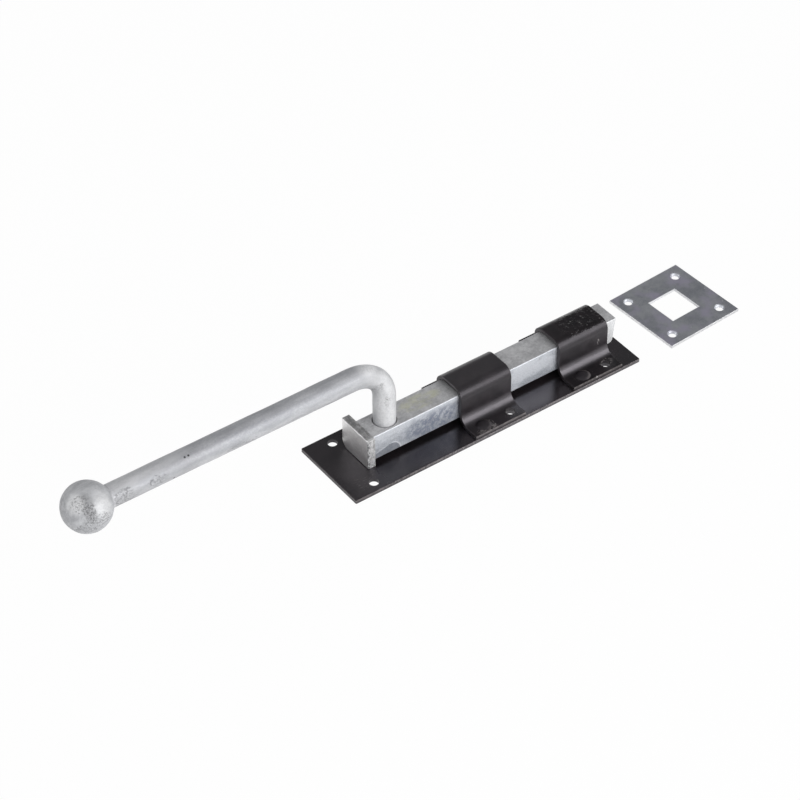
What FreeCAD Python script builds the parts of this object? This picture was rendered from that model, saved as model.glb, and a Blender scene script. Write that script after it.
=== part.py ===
"""Monkey tail bolt: a square bar sliding in two riveted straps on a backplate.

A long cranked handle with a ball knob is welded into the bar's rear end, and a
flat receiver plate lies beside the bolt.  Millimetres.  The origin is the
centre of the backplate's mounting face, +X runs along the bar towards its nose,
+Z is the way the backplate's front face looks.
"""
import math
import os

import FreeCAD, Part

# Backplate
PLATE_LENGTH = 228.0
PLATE_WIDTH = 60.0
PLATE_THICKNESS = 2.5
PLATE_CORNER_RADIUS = 0.8
PLATE_EDGE_ROUND = 0.35

# Screw holes through the backplate and the strap flanges
SCREW_HOLE_DIAMETER = 6.5
SCREW_HOLE_OFFSET_Y = 22.5
END_HOLE_INSET = 19.0

# Bolt bar, rolled square
BAR_SIZE = 19.3
BAR_LENGTH = 194.7
BAR_REAR_X = -85.7
BAR_HEIGHT_OVER_PLATE = 3.95
BAR_EDGE_ROUND = 0.7
NOSE_SLANT = 2.0
NOSE_HEEL_ROUND = 3.0

# Guide straps, pressed to a hat section from flat strip
STRAP_WIDTH = 40.0
STRAP_THICKNESS = 2.5
STRAP_SPAN = 58.7
STRAP_SIDE_GAP = 1.25
STRAP_TOP_GAP = 2.1
STRAP_LEFT_SHOULDER_RADIUS = 8.0
STRAP_RIGHT_SHOULDER_RADIUS = 7.0
STRAP_FLARE_RADIUS = 7.5
STRAP_EDGE_ROUND = 0.35
REAR_STRAP_X = 0.0
FRONT_STRAP_X = 79.5
REAR_STRAP_HOLE_SHIFT = 12.4
FRONT_STRAP_HOLE_SHIFT = 11.3
REAR_STRAP_RIVET_SHIFT = -9.2
FRONT_STRAP_RIVET_SHIFT = -7.9

# Strap rivets
RIVET_HEAD_DIAMETER = 10.6
RIVET_HEAD_HEIGHT = 1.5
RIVET_SHANK_DIAMETER = 5.0
RIVET_TAIL_DIAMETER = 8.0
RIVET_TAIL_DEPTH = 1.4
RIVET_OFFSET_Y = 22.6
RIVET_HOLE_CLEARANCE = 0.05

# Friction springs under the bar, one in each strap
SPRING_WIDTH = 12.0
SPRING_LENGTH = 34.0
SPRING_THICKNESS = 0.9
SPRING_FOOT_LENGTH = 9.0
SPRING_TO_BAR_GAP = 0.3
SPRING_RIVET_HEAD_DIAMETER = 6.0
SPRING_RIVET_HEAD_HEIGHT = 1.1
SPRING_RIVET_SHANK_DIAMETER = 3.2
SPRING_RIVET_TAIL_DIAMETER = 5.6
SPRING_RIVET_TAIL_DEPTH = 1.1

# End plate across the bar's rear end
END_PLATE_THICKNESS = 5.6
END_PLATE_FRONT_PROUD = 1.7
END_PLATE_BACK_REACH = 7.2
END_PLATE_FOOT_GAP = 0.3
END_PLATE_HEEL_ROUND = 6.0
END_PLATE_EDGE_ROUND = 0.5
END_WELD_LEG = 3.0
END_WELD_INSET = 2.2
END_WELD_FULLNESS = 0.42

# Handle rod: neck, bend and arm
ROD_DIAMETER = 15.0
NECK_X = -70.4
ARM_HEIGHT = 71.1
BEND_RADIUS = 25.0
NECK_HOLE_DIAMETER = 16.2
PLUG_WELD_DEPTH = 3.0
PLUG_WELD_CLEARANCE = 0.05
WELD_PATCH_DEPTH = 2.0
WELD_PATCH_HEIGHT = 7.0
WELD_PATCH_REAR_HEIGHT = 3.6
WELD_PATCH_CENTRE_SHIFT = -2.0
WELD_PATCH_LEAN_DEG = 110.0

# Ball knob at the arm's end
BALL_DIAMETER = 32.0
BALL_REACH = 213.3
BALL_BORE_CLEARANCE = 0.05
BALL_WELD_LEG = 2.0
BALL_WELD_RISE = 1.4

# Receiver plate, lying loose ahead of the nose
RECEIVER_SIZE = 61.0
RECEIVER_THICKNESS = 2.0
RECEIVER_HOLE = 24.1
RECEIVER_SCREW_SPACING = 43.0
RECEIVER_SCREW_DIAMETER = 5.0
RECEIVER_SINK_DIAMETER = 7.2
RECEIVER_CENTRE_X = 168.2
RECEIVER_CENTRE_Y = -0.4
RECEIVER_TURN_DEG = 3.0
RECEIVER_EDGE_ROUND = 0.25

# Levels and places that follow from the sizes above
PLATE_TOP = PLATE_THICKNESS
BAR_BOTTOM = PLATE_TOP + BAR_HEIGHT_OVER_PLATE
BAR_TOP = BAR_BOTTOM + BAR_SIZE
BAR_HALF = BAR_SIZE / 2
BAR_NOSE_X = BAR_REAR_X + BAR_LENGTH
FLANGE_TOP = PLATE_TOP + STRAP_THICKNESS
STRAP_HALF = BAR_HALF + STRAP_SIDE_GAP + STRAP_THICKNESS
STRAP_TOP = BAR_TOP + STRAP_TOP_GAP + STRAP_THICKNESS
ROD_RADIUS = ROD_DIAMETER / 2
BALL_RADIUS = BALL_DIAMETER / 2
BALL_X = NECK_X - BALL_REACH

Z_AXIS = FreeCAD.Vector(0, 0, 1)
X_AXIS = FreeCAD.Vector(1, 0, 0)
THROUGH = 1.0

STRAPS = {
    "rear": (REAR_STRAP_X, REAR_STRAP_HOLE_SHIFT, REAR_STRAP_RIVET_SHIFT),
    "front": (FRONT_STRAP_X, FRONT_STRAP_HOLE_SHIFT, FRONT_STRAP_RIVET_SHIFT),
}
SIDES = {"left": 1, "right": -1}
SHOULDER_RADII = {1: STRAP_LEFT_SHOULDER_RADIUS, -1: STRAP_RIGHT_SHOULDER_RADIUS}


def at(x, y, z):
    """A point."""
    return FreeCAD.Vector(x, y, z)


def block(x0, x1, y0, y1, z0, z1):
    """A box between two values on each axis."""
    return Part.makeBox(x1 - x0, y1 - y0, z1 - z0, at(x0, y0, z0))


def upright(x, y, z0, z1, diameter):
    """A cylinder standing along Z."""
    return Part.makeCylinder(diameter / 2, z1 - z0, at(x, y, z0), Z_AXIS)


def upright_cone(x, y, z0, z1, diameter0, diameter1):
    """A cone standing along Z, with a diameter at each end."""
    return Part.makeCone(diameter0 / 2, diameter1 / 2, z1 - z0, at(x, y, z0), Z_AXIS)


def outline(points):
    """A closed flat face with straight sides."""
    return Part.Face(Part.makePolygon(points + [points[0]]))


def edges_where(shape, test):
    """The straight edges whose two end points both pass a test."""
    chosen = []
    for edge in shape.Edges:
        ends = [vertex.Point for vertex in edge.Vertexes]
        if len(ends) == 2 and test(ends[0], ends[1]):
            chosen.append(edge)
    return chosen


def runs_along(axis, first, second):
    """True where a line from one point to the other follows an axis."""
    step = second - first
    return step.Length > 0 and abs(step.normalize().dot(axis)) > 0.999


def level(z):
    """A test that picks the edges lying at one height."""
    return lambda first, second: abs(first.z - z) < 1e-4 and abs(second.z - z) < 1e-4


def one_solid(shape):
    """The single solid that a cut or a join leaves."""
    return shape.removeSplitter().Solids[0]


def screw_places():
    """Centres of the six screw holes: two at the rear end and two in each strap."""
    places = []
    for side in SIDES.values():
        places.append((END_HOLE_INSET - PLATE_LENGTH / 2, side * SCREW_HOLE_OFFSET_Y))
        for strap_x, hole_shift, _ in STRAPS.values():
            places.append((strap_x + hole_shift, side * SCREW_HOLE_OFFSET_Y))
    return places


def strap_rivet_places(strap):
    """Centres of one strap's two rivets, by side."""
    strap_x, _, rivet_shift = STRAPS[strap]
    return {name: (strap_x + rivet_shift, side * RIVET_OFFSET_Y) for name, side in SIDES.items()}


def spring_rear_x(strap):
    """Where one strap's friction spring starts, at its riveted foot."""
    return STRAPS[strap][0] - SPRING_LENGTH / 2


def spring_rivet_x(strap):
    """Centre of the rivet in a friction spring's foot."""
    return spring_rear_x(strap) + SPRING_FOOT_LENGTH / 2


def rivet_hole(x, y, shank, tail, tail_depth):
    """The hole that a rivet fills in the backplate, countersunk from behind."""
    hole = upright(x, y, -THROUGH, PLATE_TOP + THROUGH, shank)
    sink = upright_cone(x, y, 0, tail_depth, tail, shank)
    mouth = upright(x, y, -THROUGH, 0, tail)
    return hole.fuse([sink, mouth])


def backplate():
    """Flat plate with six screw holes and the rivet holes, its tails sunk behind."""
    plate = block(-PLATE_LENGTH / 2, PLATE_LENGTH / 2, -PLATE_WIDTH / 2, PLATE_WIDTH / 2, 0, PLATE_TOP)
    corners = edges_where(plate, lambda a, b: runs_along(Z_AXIS, a, b))
    plate = plate.makeFillet(PLATE_CORNER_RADIUS, corners)
    rim = [edge for edge in plate.Edges if abs(edge.BoundBox.ZMin - PLATE_TOP) < 1e-4]
    plate = plate.makeFillet(PLATE_EDGE_ROUND, rim)
    cuts = []
    for x, y in screw_places():
        cuts.append(upright(x, y, -THROUGH, PLATE_TOP + THROUGH, SCREW_HOLE_DIAMETER))
    shank = RIVET_SHANK_DIAMETER + 2 * RIVET_HOLE_CLEARANCE
    tail = RIVET_TAIL_DIAMETER + 2 * RIVET_HOLE_CLEARANCE
    spring_shank = SPRING_RIVET_SHANK_DIAMETER + 2 * RIVET_HOLE_CLEARANCE
    spring_tail = SPRING_RIVET_TAIL_DIAMETER + 2 * RIVET_HOLE_CLEARANCE
    for strap in STRAPS:
        for x, y in strap_rivet_places(strap).values():
            cuts.append(rivet_hole(x, y, shank, tail, RIVET_TAIL_DEPTH))
        cuts.append(rivet_hole(spring_rivet_x(strap), 0, spring_shank, spring_tail, SPRING_RIVET_TAIL_DEPTH))
    return one_solid(plate.cut(cuts))


def strap_surface(depth):
    """Edges of the strap's section, from the left flange to the right one.

    depth is the distance below the strap's outer surface: zero gives the outer
    line and the strap's thickness gives the inner line.
    """
    flange_end = STRAP_SPAN / 2
    half = STRAP_HALF - depth
    crown = STRAP_TOP - depth
    diagonal = math.sqrt(0.5)
    flare_y = STRAP_HALF + STRAP_FLARE_RADIUS
    flare_z = FLANGE_TOP + STRAP_FLARE_RADIUS
    flare = STRAP_FLARE_RADIUS + depth

    def half_section(side):
        shoulder_y = STRAP_HALF - SHOULDER_RADII[side]
        shoulder_z = STRAP_TOP - SHOULDER_RADII[side]
        shoulder = SHOULDER_RADII[side] - depth
        flange = at(0, side * flange_end, FLANGE_TOP - depth)
        flare_start = at(0, side * flare_y, FLANGE_TOP - depth)
        flare_middle = at(0, side * (flare_y - flare * diagonal), flare_z - flare * diagonal)
        flare_stop = at(0, side * half, flare_z)
        shoulder_start = at(0, side * half, shoulder_z)
        shoulder_middle = at(0, side * (shoulder_y + shoulder * diagonal), shoulder_z + shoulder * diagonal)
        shoulder_stop = at(0, side * shoulder_y, crown)
        return [
            Part.makeLine(flange, flare_start),
            Part.Arc(flare_start, flare_middle, flare_stop).toShape(),
            Part.makeLine(flare_stop, shoulder_start),
            Part.Arc(shoulder_start, shoulder_middle, shoulder_stop).toShape(),
        ]

    top_left = at(0, STRAP_HALF - STRAP_LEFT_SHOULDER_RADIUS, crown)
    top_right = at(0, STRAP_RIGHT_SHOULDER_RADIUS - STRAP_HALF, crown)
    top = Part.makeLine(top_left, top_right)
    return half_section(1) + [top] + half_section(-1)


def guide_strap(strap):
    """Hat-section strap over the bar, with a screw hole and a rivet hole in each flange."""
    flange_end = STRAP_SPAN / 2
    section = strap_surface(0) + strap_surface(STRAP_THICKNESS)
    for side in SIDES.values():
        section.append(Part.makeLine(at(0, side * flange_end, PLATE_TOP), at(0, side * flange_end, FLANGE_TOP)))
    wire = Part.Wire(Part.__sortEdges__(section))
    body = Part.Face(wire).extrude(at(STRAP_WIDTH, 0, 0))
    strap_x, hole_shift, _ = STRAPS[strap]
    body.translate(at(strap_x - STRAP_WIDTH / 2, 0, 0))
    rounded = [
        edge
        for edge in body.Edges
        if edge.BoundBox.XLength < 1e-4 and edge_is_outside(edge)
    ]
    body = body.makeFillet(STRAP_EDGE_ROUND, rounded)
    cuts = []
    for x, y in strap_rivet_places(strap).values():
        cuts.append(upright(x, y, 0, STRAP_TOP, RIVET_SHANK_DIAMETER + 2 * RIVET_HOLE_CLEARANCE))
    for side in SIDES.values():
        y = side * SCREW_HOLE_OFFSET_Y
        cuts.append(upright(strap_x + hole_shift, y, 0, STRAP_TOP, SCREW_HOLE_DIAMETER))
    return one_solid(body.cut(cuts))


def edge_is_outside(edge):
    """True for the section edges on a strap's outer surface."""
    start, stop = edge.FirstParameter, edge.LastParameter
    middle = edge.valueAt((start + stop) / 2)
    for line in strap_surface(0):
        moved = line.copy()
        moved.translate(at(middle.x, 0, 0))
        if moved.distToShape(Part.Vertex(middle))[0] < 1e-4:
            return True
    return False


def rivet(x, y, z_under_head, head, head_height, shank, tail, tail_depth):
    """Low domed head on the sheet, shank through it, and a tail spread flush behind."""
    head_radius = head / 2
    dome_radius = (head_radius ** 2 + head_height ** 2) / (2 * head_height)
    dome_centre = at(x, y, z_under_head + head_height - dome_radius)
    dome = Part.makeSphere(dome_radius, dome_centre)
    dome = dome.common(upright(x, y, z_under_head, z_under_head + head_height, head))
    stem = upright(x, y, 0, z_under_head + head_height / 2, shank)
    spread = upright_cone(x, y, 0, tail_depth, tail, shank)
    return one_solid(dome.fuse([stem, spread]))


def strap_rivet(strap, side):
    """One of the four rivets that hold the straps down, its head set against the flare."""
    x, y = strap_rivet_places(strap)[side]
    free_rivet = rivet(
        x,
        y,
        FLANGE_TOP,
        RIVET_HEAD_DIAMETER,
        RIVET_HEAD_HEIGHT,
        RIVET_SHANK_DIAMETER,
        RIVET_TAIL_DIAMETER,
        RIVET_TAIL_DEPTH,
    )
    return one_solid(free_rivet.cut(guide_strap(strap)))


def spring_rivet(strap):
    """Small rivet through a friction spring's foot."""
    return rivet(
        spring_rivet_x(strap),
        0,
        PLATE_TOP + SPRING_THICKNESS,
        SPRING_RIVET_HEAD_DIAMETER,
        SPRING_RIVET_HEAD_HEIGHT,
        SPRING_RIVET_SHANK_DIAMETER,
        SPRING_RIVET_TAIL_DIAMETER,
        SPRING_RIVET_TAIL_DEPTH,
    )


def friction_spring(strap):
    """Bowed leaf between backplate and bar: a flat foot, then one arch to its free end."""
    rear = spring_rear_x(strap)
    bow_start = rear + SPRING_FOOT_LENGTH
    bow_stop = rear + SPRING_LENGTH
    bow_middle = (bow_start + bow_stop) / 2
    crest = BAR_BOTTOM - SPRING_TO_BAR_GAP
    under_foot = PLATE_TOP
    over_foot = PLATE_TOP + SPRING_THICKNESS
    upper = [
        Part.makeLine(at(rear, 0, over_foot), at(bow_start, 0, over_foot)),
        Part.Arc(at(bow_start, 0, over_foot), at(bow_middle, 0, crest), at(bow_stop, 0, over_foot)).toShape(),
    ]
    lower = [
        Part.makeLine(at(rear, 0, under_foot), at(bow_start, 0, under_foot)),
        Part.Arc(
            at(bow_start, 0, under_foot),
            at(bow_middle, 0, crest - SPRING_THICKNESS),
            at(bow_stop, 0, under_foot),
        ).toShape(),
    ]
    ends = [
        Part.makeLine(at(rear, 0, under_foot), at(rear, 0, over_foot)),
        Part.makeLine(at(bow_stop, 0, under_foot), at(bow_stop, 0, over_foot)),
    ]
    wire = Part.Wire(Part.__sortEdges__(upper + lower + ends))
    leaf = Part.Face(wire).extrude(at(0, SPRING_WIDTH, 0))
    leaf.translate(at(0, -SPRING_WIDTH / 2, 0))
    hole_diameter = SPRING_RIVET_SHANK_DIAMETER + 2 * RIVET_HOLE_CLEARANCE
    hole = upright(spring_rivet_x(strap), 0, 0, crest, hole_diameter)
    return one_solid(leaf.cut(hole))


def weld_patch():
    """The weld that shows at the bar's lower right edge, under the neck.

    Its outline rises from the end plate to a round end just past the neck.
    """
    centre_x = NECK_X + WELD_PATCH_CENTRE_SHIFT
    radius = WELD_PATCH_HEIGHT
    face_y = -BAR_HALF
    lean = math.radians(WELD_PATCH_LEAN_DEG)
    rear_top = at(BAR_REAR_X, face_y, BAR_BOTTOM + WELD_PATCH_REAR_HEIGHT)
    arc_start = at(centre_x + radius * math.cos(lean), face_y, BAR_BOTTOM + radius * math.sin(lean))
    arc_middle = at(centre_x + radius * math.sqrt(0.5), face_y, BAR_BOTTOM + radius * math.sqrt(0.5))
    arc_stop = at(centre_x + radius, face_y, BAR_BOTTOM)
    rear_bottom = at(BAR_REAR_X, face_y, BAR_BOTTOM)
    wire = Part.Wire(
        [
            Part.makeLine(rear_bottom, rear_top),
            Part.makeLine(rear_top, arc_start),
            Part.Arc(arc_start, arc_middle, arc_stop).toShape(),
            Part.makeLine(arc_stop, rear_bottom),
        ]
    )
    return Part.Face(wire).extrude(at(0, WELD_PATCH_DEPTH, 0))


def neck_hole():
    """The hole drilled down through the bar for the neck."""
    return upright(NECK_X, 0, BAR_BOTTOM - THROUGH, BAR_TOP + THROUGH, NECK_HOLE_DIAMETER)


def bolt_bar():
    """Square bar with a slanted nose, the neck's hole and the weld's pocket."""
    outline_face = outline(
        [
            at(BAR_REAR_X, -BAR_HALF, BAR_BOTTOM),
            at(BAR_REAR_X, -BAR_HALF, BAR_TOP),
            at(BAR_NOSE_X, -BAR_HALF, BAR_TOP),
            at(BAR_NOSE_X - NOSE_SLANT, -BAR_HALF, BAR_BOTTOM),
        ]
    )
    bar = outline_face.extrude(at(0, BAR_SIZE, 0))
    nose_low = BAR_NOSE_X - NOSE_SLANT
    heel = edges_where(
        bar,
        lambda a, b: abs(a.x - nose_low) < 1e-4 and abs(b.x - nose_low) < 1e-4 and abs(a.z - b.z) < 1e-4,
    )
    bar = bar.makeFillet(NOSE_HEEL_ROUND, heel)
    long_edges = edges_where(bar, lambda a, b: runs_along(X_AXIS, a, b))
    bar = bar.makeFillet(BAR_EDGE_ROUND, long_edges)
    return one_solid(bar.cut([neck_hole(), weld_patch()]))


def handle_plug_weld():
    """Weld that fills the hole under the neck and runs out at the bar's right side."""
    plug_diameter = NECK_HOLE_DIAMETER - 2 * PLUG_WELD_CLEARANCE
    plug = upright(NECK_X, 0, BAR_BOTTOM, BAR_BOTTOM + PLUG_WELD_DEPTH, plug_diameter)
    neck_room = upright(NECK_X, 0, BAR_BOTTOM + PLUG_WELD_DEPTH, BAR_TOP, ROD_DIAMETER + 2 * PLUG_WELD_CLEARANCE)
    sharp = block(BAR_REAR_X, BAR_NOSE_X, -BAR_HALF, BAR_HALF, BAR_BOTTOM, BAR_TOP)
    lower_edge = edges_where(
        sharp,
        lambda a, b: runs_along(X_AXIS, a, b) and abs(a.z - BAR_BOTTOM) < 1e-4 and a.y < 0,
    )
    rounded = sharp.makeFillet(BAR_EDGE_ROUND, lower_edge)
    patch = weld_patch().common(rounded).cut(neck_room)
    return one_solid(plug.fuse(patch))


def bar_end_plate():
    """Thick plate welded across the bar's rear end; its foot runs just over the backplate."""
    x0 = BAR_REAR_X - END_PLATE_THICKNESS
    y0 = -BAR_HALF - END_PLATE_FRONT_PROUD
    y1 = BAR_HALF + END_PLATE_BACK_REACH
    z0 = PLATE_TOP + END_PLATE_FOOT_GAP
    plate = block(x0, BAR_REAR_X, y0, y1, z0, BAR_TOP)
    heel = edges_where(
        plate,
        lambda a, b: runs_along(X_AXIS, a, b) and abs(a.z - z0) < 1e-4 and abs(a.y - y1) < 1e-4,
    )
    plate = plate.makeFillet(END_PLATE_HEEL_ROUND, heel)
    rims = [edge for edge in plate.Edges if abs(edge.BoundBox.XMax - x0) < 1e-4]
    return one_solid(plate.makeFillet(END_PLATE_EDGE_ROUND, rims))


def fillet_bead(corner, leg_a, leg_b, along):
    """A weld bead with a slightly hollow face, filling the corner between two faces."""
    tip_a = corner + leg_a
    tip_b = corner + leg_b
    middle = corner + (leg_a + leg_b) * END_WELD_FULLNESS
    wire = Part.Wire(
        [
            Part.makeLine(corner, tip_a),
            Part.Arc(tip_a, middle, tip_b).toShape(),
            Part.makeLine(tip_b, corner),
        ]
    )
    return Part.Face(wire).extrude(along)


def end_plate_back_weld():
    """Bead that holds the end plate behind the bar."""
    return fillet_bead(
        at(BAR_REAR_X, BAR_HALF, BAR_BOTTOM + END_WELD_INSET),
        at(END_WELD_LEG, 0, 0),
        at(0, END_WELD_LEG, 0),
        at(0, 0, BAR_SIZE - 2 * END_WELD_INSET),
    )


def end_plate_under_weld():
    """Bead that holds the end plate under the bar."""
    return fillet_bead(
        at(BAR_REAR_X, -BAR_HALF + END_WELD_INSET, BAR_BOTTOM),
        at(END_WELD_LEG, 0, 0),
        at(0, 0, -END_WELD_LEG),
        at(0, BAR_SIZE - 2 * END_WELD_INSET, 0),
    )


def handle_rod():
    """Round rod: neck up out of the bar, a quarter bend, and the arm back to the ball."""
    neck_bottom = at(NECK_X, 0, BAR_BOTTOM + PLUG_WELD_DEPTH)
    bend_start = at(NECK_X, 0, ARM_HEIGHT - BEND_RADIUS)
    bend_stop = at(NECK_X - BEND_RADIUS, 0, ARM_HEIGHT)
    bend_reach = BEND_RADIUS * (1 - math.sqrt(0.5))
    bend_middle = at(NECK_X - bend_reach, 0, ARM_HEIGHT - bend_reach)
    arm_stop = at(BALL_X, 0, ARM_HEIGHT)
    path = Part.Wire(
        [
            Part.makeLine(neck_bottom, bend_start),
            Part.Arc(bend_start, bend_middle, bend_stop).toShape(),
            Part.makeLine(bend_stop, arm_stop),
        ]
    )
    section = Part.Wire(Part.makeCircle(ROD_RADIUS, neck_bottom, Z_AXIS))
    return path.makePipeShell([section], True, False)


def ball_bore():
    """The blind bore that takes the arm's end, from the ball's centre outwards."""
    radius = ROD_RADIUS + BALL_BORE_CLEARANCE
    return Part.makeCylinder(radius, BALL_DIAMETER, at(BALL_X, 0, ARM_HEIGHT), X_AXIS)


def ball_knob():
    """Forged ball on the arm's end."""
    ball = Part.makeSphere(BALL_RADIUS, at(BALL_X, 0, ARM_HEIGHT))
    return one_solid(ball.cut(ball_bore()))


def knob_weld():
    """Ring of weld in the corner between the arm and the ball."""
    foot = math.sqrt(BALL_RADIUS ** 2 - ROD_RADIUS ** 2)
    ring_radius = ROD_RADIUS + BALL_BORE_CLEARANCE
    outer = ring_radius + BALL_WELD_RISE
    start = math.sqrt(BALL_RADIUS ** 2 - outer ** 2)
    profile = outline(
        [
            at(BALL_X + start - BALL_WELD_LEG, 0, ARM_HEIGHT + ring_radius),
            at(BALL_X + start - BALL_WELD_LEG, 0, ARM_HEIGHT + outer),
            at(BALL_X + start, 0, ARM_HEIGHT + outer),
            at(BALL_X + foot + BALL_WELD_LEG, 0, ARM_HEIGHT + ring_radius),
        ]
    )
    ring = profile.revolve(at(BALL_X, 0, ARM_HEIGHT), X_AXIS, 360)
    return one_solid(ring.cut(Part.makeSphere(BALL_RADIUS, at(BALL_X, 0, ARM_HEIGHT))))


def receiver_plate():
    """Square plate with a square hole for the nose and four countersunk screw holes."""
    half = RECEIVER_SIZE / 2
    plate = block(-half, half, -half, half, 0, RECEIVER_THICKNESS)
    plate = plate.makeFillet(RECEIVER_EDGE_ROUND, edges_where(plate, level(RECEIVER_THICKNESS)))
    hole_half = RECEIVER_HOLE / 2
    cuts = [block(-hole_half, hole_half, -hole_half, hole_half, -THROUGH, RECEIVER_THICKNESS + THROUGH)]
    sink_depth = (RECEIVER_SINK_DIAMETER - RECEIVER_SCREW_DIAMETER) / 2
    sink_start = RECEIVER_THICKNESS - sink_depth
    for side_x in (-1, 1):
        for side_y in (-1, 1):
            x = side_x * RECEIVER_SCREW_SPACING / 2
            y = side_y * RECEIVER_SCREW_SPACING / 2
            cuts.append(upright(x, y, -THROUGH, RECEIVER_THICKNESS + THROUGH, RECEIVER_SCREW_DIAMETER))
            cuts.append(
                upright_cone(x, y, sink_start, RECEIVER_THICKNESS, RECEIVER_SCREW_DIAMETER, RECEIVER_SINK_DIAMETER)
            )
    plate = one_solid(plate.cut(cuts))
    plate.rotate(at(0, 0, 0), Z_AXIS, RECEIVER_TURN_DEG)
    plate.translate(at(RECEIVER_CENTRE_X, RECEIVER_CENTRE_Y, 0))
    return plate


def assembly():
    """Every node's name and shape."""
    nodes = {
        "backplate": backplate(),
        "bolt_bar": bolt_bar(),
        "bar_end_plate": bar_end_plate(),
        "end_plate_back_weld": end_plate_back_weld(),
        "end_plate_under_weld": end_plate_under_weld(),
        "handle_rod": handle_rod(),
        "handle_plug_weld": handle_plug_weld(),
        "ball_knob": ball_knob(),
        "knob_weld": knob_weld(),
        "receiver_plate": receiver_plate(),
    }
    for strap in STRAPS:
        nodes[strap + "_guide_strap"] = guide_strap(strap)
        nodes[strap + "_friction_spring"] = friction_spring(strap)
        nodes[strap + "_spring_rivet"] = spring_rivet(strap)
        for side in SIDES:
            nodes[strap + "_strap_rivet_" + side] = strap_rivet(strap, side)
    return nodes


os.makedirs("parts", exist_ok=True)
for node, shape in assembly().items():
    shape.exportStep("parts/" + node + ".step")
    print(node, len(shape.Solids), "valid" if shape.isValid() else "NOT VALID", round(shape.Volume, 1))
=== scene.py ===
"""Monkey tail bolt, dressed for a product picture.

A square zinc plated bar slides in two black straps on a black backplate.  A long
round handle with a ball knob stands in the bar's rear end, and a square receiver
plate lies ahead of its nose.  Metres, in the solids' own frame: +X runs along
the bar towards its nose and +Z out of the door.
"""

import math

import bpy
import numpy as np
from mathutils import Matrix, Vector


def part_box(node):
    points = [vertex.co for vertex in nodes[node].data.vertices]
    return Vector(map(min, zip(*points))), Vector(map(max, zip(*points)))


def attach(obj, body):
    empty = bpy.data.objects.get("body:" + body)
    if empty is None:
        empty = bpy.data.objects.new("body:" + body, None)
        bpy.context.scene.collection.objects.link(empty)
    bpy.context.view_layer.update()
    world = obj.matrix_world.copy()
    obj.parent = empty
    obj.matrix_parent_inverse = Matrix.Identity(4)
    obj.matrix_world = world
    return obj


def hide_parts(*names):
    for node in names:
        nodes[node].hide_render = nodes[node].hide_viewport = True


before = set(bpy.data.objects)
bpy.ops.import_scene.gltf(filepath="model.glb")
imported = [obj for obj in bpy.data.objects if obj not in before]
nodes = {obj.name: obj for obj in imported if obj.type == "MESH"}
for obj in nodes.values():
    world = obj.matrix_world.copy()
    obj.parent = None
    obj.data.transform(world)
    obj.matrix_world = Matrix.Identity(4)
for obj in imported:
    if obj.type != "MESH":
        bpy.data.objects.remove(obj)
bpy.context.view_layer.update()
MM = 0.001


# Camera
# A long lens looks down on the bolt from its right rear, as in a catalogue
# picture.  It aims past the backplate's centre and leans by a third of a degree.
CAMERA_AZIMUTH = math.radians(-35.87)
CAMERA_ELEVATION = math.radians(41.55)
CAMERA_ROLL = math.radians(-0.35)
CAMERA_DISTANCE = 1737.6 * MM
CAMERA_RIGHT = 44.6 * MM
CAMERA_UP = 48.4 * MM
CAMERA_AIM = Vector((-113.7 * MM, 0, 0))
CAMERA_LENS = 124.96
CAMERA_SENSOR = 36.0
CAMERA_NEAR = 0.05
CAMERA_FAR = 100.0


def add_camera():
    """The camera's own axes as columns: right, up and back, turned about the line of sight."""
    level = math.cos(CAMERA_ELEVATION)
    back_x = math.sin(CAMERA_AZIMUTH) * level
    back_y = -math.cos(CAMERA_AZIMUTH) * level
    back = Vector((back_x, back_y, math.sin(CAMERA_ELEVATION)))
    flat_right = Vector((math.cos(CAMERA_AZIMUTH), math.sin(CAMERA_AZIMUTH), 0))
    flat_up = back.cross(flat_right)
    right = flat_right * math.cos(CAMERA_ROLL) + flat_up * math.sin(CAMERA_ROLL)
    up = flat_up * math.cos(CAMERA_ROLL) - flat_right * math.sin(CAMERA_ROLL)
    place = CAMERA_AIM + right * CAMERA_RIGHT + up * CAMERA_UP + back * CAMERA_DISTANCE
    data = bpy.data.cameras.new("camera")
    data.lens = CAMERA_LENS
    data.sensor_width = CAMERA_SENSOR
    data.clip_start = CAMERA_NEAR
    data.clip_end = CAMERA_FAR
    camera = bpy.data.objects.new("camera", data)
    bpy.context.scene.collection.objects.link(camera)
    camera.matrix_world = Matrix.Translation(place) @ Matrix((right, up, back)).transposed().to_4x4()
    bpy.context.scene.camera = camera


add_camera()


# Ground and light
# A white table that sweeps up into a white wall all round, two soft lamps ahead of
# the bolt's near side and a weak one behind it.  The dim room is darker on its far
# upper side, which level faces mirror.
TABLE_DROP = 0.1 * MM
TABLE_HUB_RADIUS = 0.01
TABLE_FLAT_RADIUS = 8.0
TABLE_SWEEP_RADIUS = 5.0
TABLE_FLAT_RINGS = 12
TABLE_SWEEP_RINGS = 24
TABLE_AROUND = 96
TABLE_WHITE = (0.80, 0.80, 0.80, 1)
TABLE_GLOW = (1, 1, 1, 1)
TABLE_SEEN_SHARE = 0.97
ROOM_GREY = (0.98, 0.985, 1.0, 1)
ROOM_STRENGTH = 0.42
DARK_SIDE = (0.44, 0.61, 0.66)
DARK_STRENGTH = 0.28
DARK_EDGE = 0.45
DARK_CORE = 0.85
KEY_PLACE = (0.78, -1.36, 0.98)
KEY_SIZE = (1.7, 1.1)
KEY_POWER = 15.5
REAR_PLACE = (-1.1, 1.2, 1.3)
REAR_SIZE = (1.0, 0.8)
REAR_POWER = 7.0
FRONT_PLACE = (-0.35, -1.75, 0.62)
FRONT_SIZE = (2.2, 0.7)
FRONT_POWER = 25.0


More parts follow.
